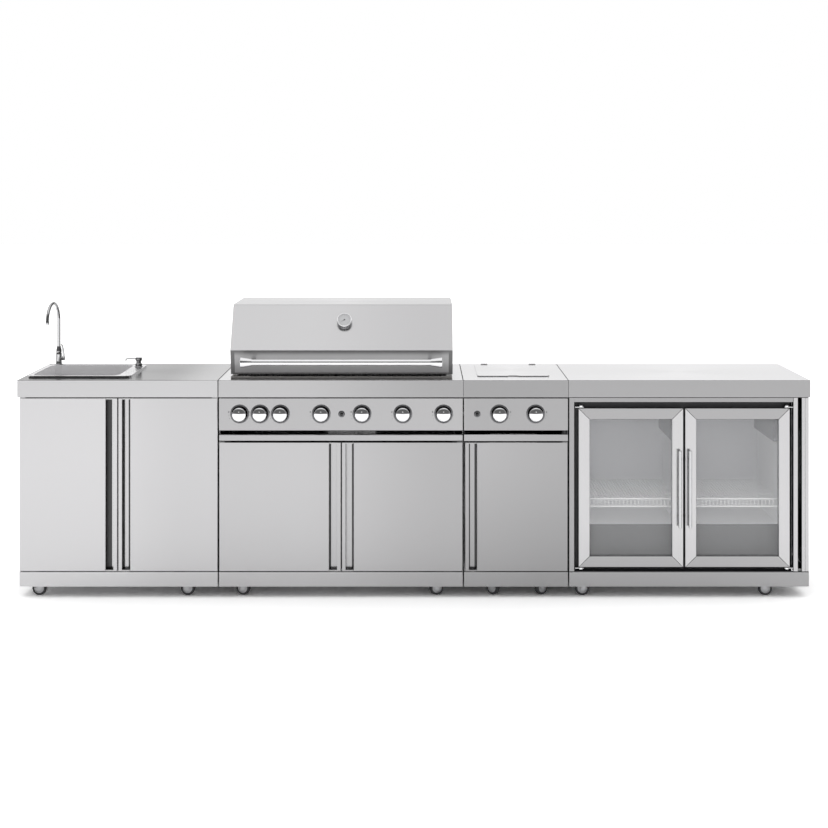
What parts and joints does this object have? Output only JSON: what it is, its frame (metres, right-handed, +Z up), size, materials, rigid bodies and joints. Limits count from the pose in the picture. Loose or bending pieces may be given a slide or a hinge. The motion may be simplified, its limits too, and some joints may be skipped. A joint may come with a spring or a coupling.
{
  "type": "outdoor kitchen island",
  "caption": "Long stainless outdoor kitchen island on casters: sink with faucet, hooded gas grill, side burner and glass-door fridge under a folded steel counter.",
  "frame": {"origin": "on the floor, under the middle of the overall box", "axes": "+X along the counter towards the fridge, +Y towards the back, +Z up"},
  "size_m": [3.334, 0.688, 1.221],
  "materials": {
    "worktop_steel": "long-grain brushed",
    "cabinet_steel": "satin sheet",
    "door_steel": "vertical brushed sheet",
    "panel_steel": "horizontal brushed sheet",
    "hood_steel": "horizontal brushed sheet",
    "bowl_steel": "pressed and satin polished",
    "bright_chrome": "polished",
    "handle_steel": "polished bar",
    "knob_chrome": "polished casting",
    "button_black": "gloss",
    "firebox_steel": "heat-tinted sheet",
    "grate_iron": "seasoned",
    "gas_alloy": "as cast",
    "gauge_steel": "polished bezel",
    "fridge_liner": "moulded liner",
    "wire_steel": "bright wire",
    "door_glass": "double-pane clear glass",
    "caster_steel": "zinc plated",
    "caster_tyre": "moulded"
  },
  "bodies": {
    "island": {"sink_worktop": "worktop_steel", "grill_worktop": "worktop_steel", "side_burner_worktop": "worktop_steel", "fridge_worktop": "worktop_steel", "sink_cabinet": "cabinet_steel", "grill_cabinet": "cabinet_steel", "side_burner_cabinet": "cabinet_steel", "fridge_cabinet": "cabinet_steel", "control_panels": "panel_steel", "sink_bowl": "bowl_steel", "sink_drain": "bowl_steel", "faucet_body": "bright_chrome", "soap_dispenser": "bright_chrome", "firebox": "firebox_steel", "burner_tubes": "firebox_steel", "flame_tamers": "firebox_steel", "cooking_grates": "grate_iron", "warming_rack": "wire_steel", "gas_manifold": "gas_alloy", "side_burner": "firebox_steel", "fridge_body": "fridge_liner", "fridge_shelves": "wire_steel", "rear_caster_forks": "caster_steel"},
    "sink_left_door": {"sink_left_door": "door_steel"},
    "sink_right_door": {"sink_right_door": "door_steel"},
    "grill_left_door": {"grill_left_door": "door_steel"},
    "grill_right_door": {"grill_right_door": "door_steel"},
    "side_burner_door": {"side_burner_door": "door_steel"},
    "fridge_left_door": {"fridge_left_door": "door_steel", "fridge_left_glass": "door_glass"},
    "fridge_right_door": {"fridge_right_door": "door_steel", "fridge_right_glass": "door_glass"},
    "hood": {"hood_shell": "hood_steel", "hood_handle": "handle_steel", "thermometer": "gauge_steel"},
    "side_burner_lid": {"side_burner_lid": "worktop_steel"},
    "knob_1": {"knob_1": "knob_chrome"},
    "knob_2": {"knob_2": "knob_chrome"},
    "knob_3": {"knob_3": "knob_chrome"},
    "knob_4": {"knob_4": "knob_chrome"},
    "knob_5": {"knob_5": "knob_chrome"},
    "knob_6": {"knob_6": "knob_chrome"},
    "knob_7": {"knob_7": "knob_chrome"},
    "side_burner_left_knob": {"side_burner_left_knob": "knob_chrome"},
    "side_burner_right_knob": {"side_burner_right_knob": "knob_chrome"},
    "igniter_button": {"igniter_button": "button_black"},
    "side_igniter_button": {"side_igniter_button": "button_black"},
    "grease_tray": {"grease_tray": "panel_steel"},
    "faucet_spout": {"faucet_spout": "bright_chrome"},
    "faucet_lever": {"faucet_lever": "bright_chrome"},
    "soap_pump": {"soap_pump": "bright_chrome"},
    "sink_left_caster": {"sink_left_caster": "caster_steel"},
    "sink_right_caster": {"sink_right_caster": "caster_steel"},
    "grill_left_caster": {"grill_left_caster": "caster_steel"},
    "grill_right_caster": {"grill_right_caster": "caster_steel"},
    "burner_left_caster": {"burner_left_caster": "caster_steel"},
    "burner_right_caster": {"burner_right_caster": "caster_steel"},
    "fridge_left_caster": {"fridge_left_caster": "caster_steel"},
    "fridge_right_caster": {"fridge_right_caster": "caster_steel"},
    "rear_caster_wheels": {"rear_caster_wheels": "caster_tyre"}
  },
  "joints": [
    {"name": "sink_left_door_swing", "type": "hinge", "parent": "island", "child": "sink_left_door", "pos_m": [-1.647, -0.294, 0.475], "axis": [0, 0, -1], "range_deg": [0, 110]},
    {"name": "sink_right_door_swing", "type": "hinge", "parent": "island", "child": "sink_right_door", "pos_m": [-0.8345, -0.294, 0.475], "axis": [0, 0, 1], "range_deg": [0, 90]},
    {"name": "grill_left_door_swing", "type": "hinge", "parent": "island", "child": "grill_left_door", "pos_m": [-0.8085, -0.294, 0.38], "axis": [0, 0, -1], "range_deg": [0, 90]},
    {"name": "grill_right_door_swing", "type": "hinge", "parent": "island", "child": "grill_right_door", "pos_m": [0.1955, -0.294, 0.38], "axis": [0, 0, 1], "range_deg": [0, 90]},
    {"name": "side_burner_door_swing", "type": "hinge", "parent": "island", "child": "side_burner_door", "pos_m": [0.6375, -0.294, 0.38], "axis": [0, 0, 1], "range_deg": [0, 90]},
    {"name": "fridge_left_door_swing", "type": "hinge", "parent": "island", "child": "fridge_left_door", "pos_m": [0.7034, -0.281, 0.462], "axis": [0, 0, -1], "range_deg": [0, 90]},
    {"name": "fridge_right_door_swing", "type": "hinge", "parent": "island", "child": "fridge_right_door", "pos_m": [1.5712, -0.281, 0.462], "axis": [0, 0, 1], "range_deg": [0, 90]},
    {"name": "hood_lift", "type": "hinge", "parent": "island", "child": "hood", "pos_m": [-0.3065, 0.286, 0.972], "axis": [-1, 0, 0], "range_deg": [0, 75]},
    {"name": "side_burner_lid_lift", "type": "hinge", "parent": "island", "child": "side_burner_lid", "pos_m": [0.426, 0.284, 0.9199], "axis": [-1, 0, 0], "range_deg": [0, 95]},
    {"name": "knob_1_turn", "type": "hinge", "parent": "island", "child": "knob_1", "pos_m": [-0.7319, -0.32, 0.773], "axis": [0, -1, 0], "range_deg": [0, 270]},
    {"name": "knob_2_turn", "type": "hinge", "parent": "island", "child": "knob_2", "pos_m": [-0.6462, -0.32, 0.773], "axis": [0, -1, 0], "range_deg": [0, 270]},
    {"name": "knob_3_turn", "type": "hinge", "parent": "island", "child": "knob_3", "pos_m": [-0.5605, -0.32, 0.773], "axis": [0, -1, 0], "range_deg": [0, 270]},
    {"name": "knob_4_turn", "type": "hinge", "parent": "island", "child": "knob_4", "pos_m": [-0.3891, -0.32, 0.773], "axis": [0, -1, 0], "range_deg": [0, 270]},
    {"name": "knob_5_turn", "type": "hinge", "parent": "island", "child": "knob_5", "pos_m": [-0.2177, -0.32, 0.773], "axis": [0, -1, 0], "range_deg": [0, 270]},
    {"name": "knob_6_turn", "type": "hinge", "parent": "island", "child": "knob_6", "pos_m": [-0.0463, -0.32, 0.773], "axis": [0, -1, 0], "range_deg": [0, 270]},
    {"name": "knob_7_turn", "type": "hinge", "parent": "island", "child": "knob_7", "pos_m": [0.1251, -0.32, 0.773], "axis": [0, -1, 0], "range_deg": [0, 270]},
    {"name": "side_burner_left_knob_turn", "type": "hinge", "parent": "island", "child": "side_burner_left_knob", "pos_m": [0.36, -0.32, 0.773], "axis": [0, -1, 0], "range_deg": [0, 270]},
    {"name": "side_burner_right_knob_turn", "type": "hinge", "parent": "island", "child": "side_burner_right_knob", "pos_m": [0.5122, -0.32, 0.773], "axis": [0, -1, 0], "range_deg": [0, 270]},
    {"name": "igniter_press", "type": "slide", "parent": "island", "child": "igniter_button", "axis": [0, 1, 0], "range_m": [0, 0.005], "stiffness_N_per_m": 400, "springref_m": -0.005},
    {"name": "side_igniter_press", "type": "slide", "parent": "island", "child": "side_igniter_button", "axis": [0, 1, 0], "range_m": [0, 0.005], "stiffness_N_per_m": 400, "springref_m": -0.005},
    {"name": "grease_tray_slide", "type": "slide", "parent": "island", "child": "grease_tray", "axis": [0, -1, 0], "range_m": [0, 0.4]},
    {"name": "faucet_spout_swivel", "type": "hinge", "parent": "island", "child": "faucet_spout", "pos_m": [-1.619, 0.3, 1], "axis": [0, 0, 1], "range_deg": [-90, 110]},
    {"name": "faucet_lever_tilt", "type": "hinge", "parent": "island", "child": "faucet_lever", "pos_m": [-1.599, 0.3, 0.945], "axis": [1, 0, 0], "range_deg": [0, 60]},
    {"name": "soap_pump_press", "type": "slide", "parent": "island", "child": "soap_pump", "axis": [0, 0, -1], "range_m": [0, 0.012], "stiffness_N_per_m": 300, "springref_m": -0.01},
    {"name": "sink_left_caster_swivel", "type": "hinge", "parent": "island", "child": "sink_left_caster", "pos_m": [-1.566, -0.252, 0.06], "axis": [0, 0, 1], "continuous": true},
    {"name": "sink_right_caster_swivel", "type": "hinge", "parent": "island", "child": "sink_right_caster", "pos_m": [-0.974, -0.252, 0.06], "axis": [0, 0, 1], "continuous": true},
    {"name": "grill_left_caster_swivel", "type": "hinge", "parent": "island", "child": "grill_left_caster", "pos_m": [-0.704, -0.252, 0.06], "axis": [0, 0, 1], "continuous": true},
    {"name": "grill_right_caster_swivel", "type": "hinge", "parent": "island", "child": "grill_right_caster", "pos_m": [0.078, -0.252, 0.06], "axis": [0, 0, 1], "continuous": true},
    {"name": "burner_left_caster_swivel", "type": "hinge", "parent": "island", "child": "burner_left_caster", "pos_m": [0.35, -0.252, 0.06], "axis": [0, 0, 1], "continuous": true},
    {"name": "burner_right_caster_swivel", "type": "hinge", "parent": "island", "child": "burner_right_caster", "pos_m": [0.525, -0.252, 0.06], "axis": [0, 0, 1], "continuous": true},
    {"name": "fridge_left_caster_swivel", "type": "hinge", "parent": "island", "child": "fridge_left_caster", "pos_m": [0.73, -0.252, 0.06], "axis": [0, 0, 1], "continuous": true},
    {"name": "fridge_right_caster_swivel", "type": "hinge", "parent": "island", "child": "fridge_right_caster", "pos_m": [1.468, -0.252, 0.06], "axis": [0, 0, 1], "continuous": true},
    {"name": "rear_wheels_roll", "type": "hinge", "parent": "island", "child": "rear_caster_wheels", "pos_m": [0, 0.29, 0.02994], "axis": [1, 0, 0], "continuous": true}
  ]
}
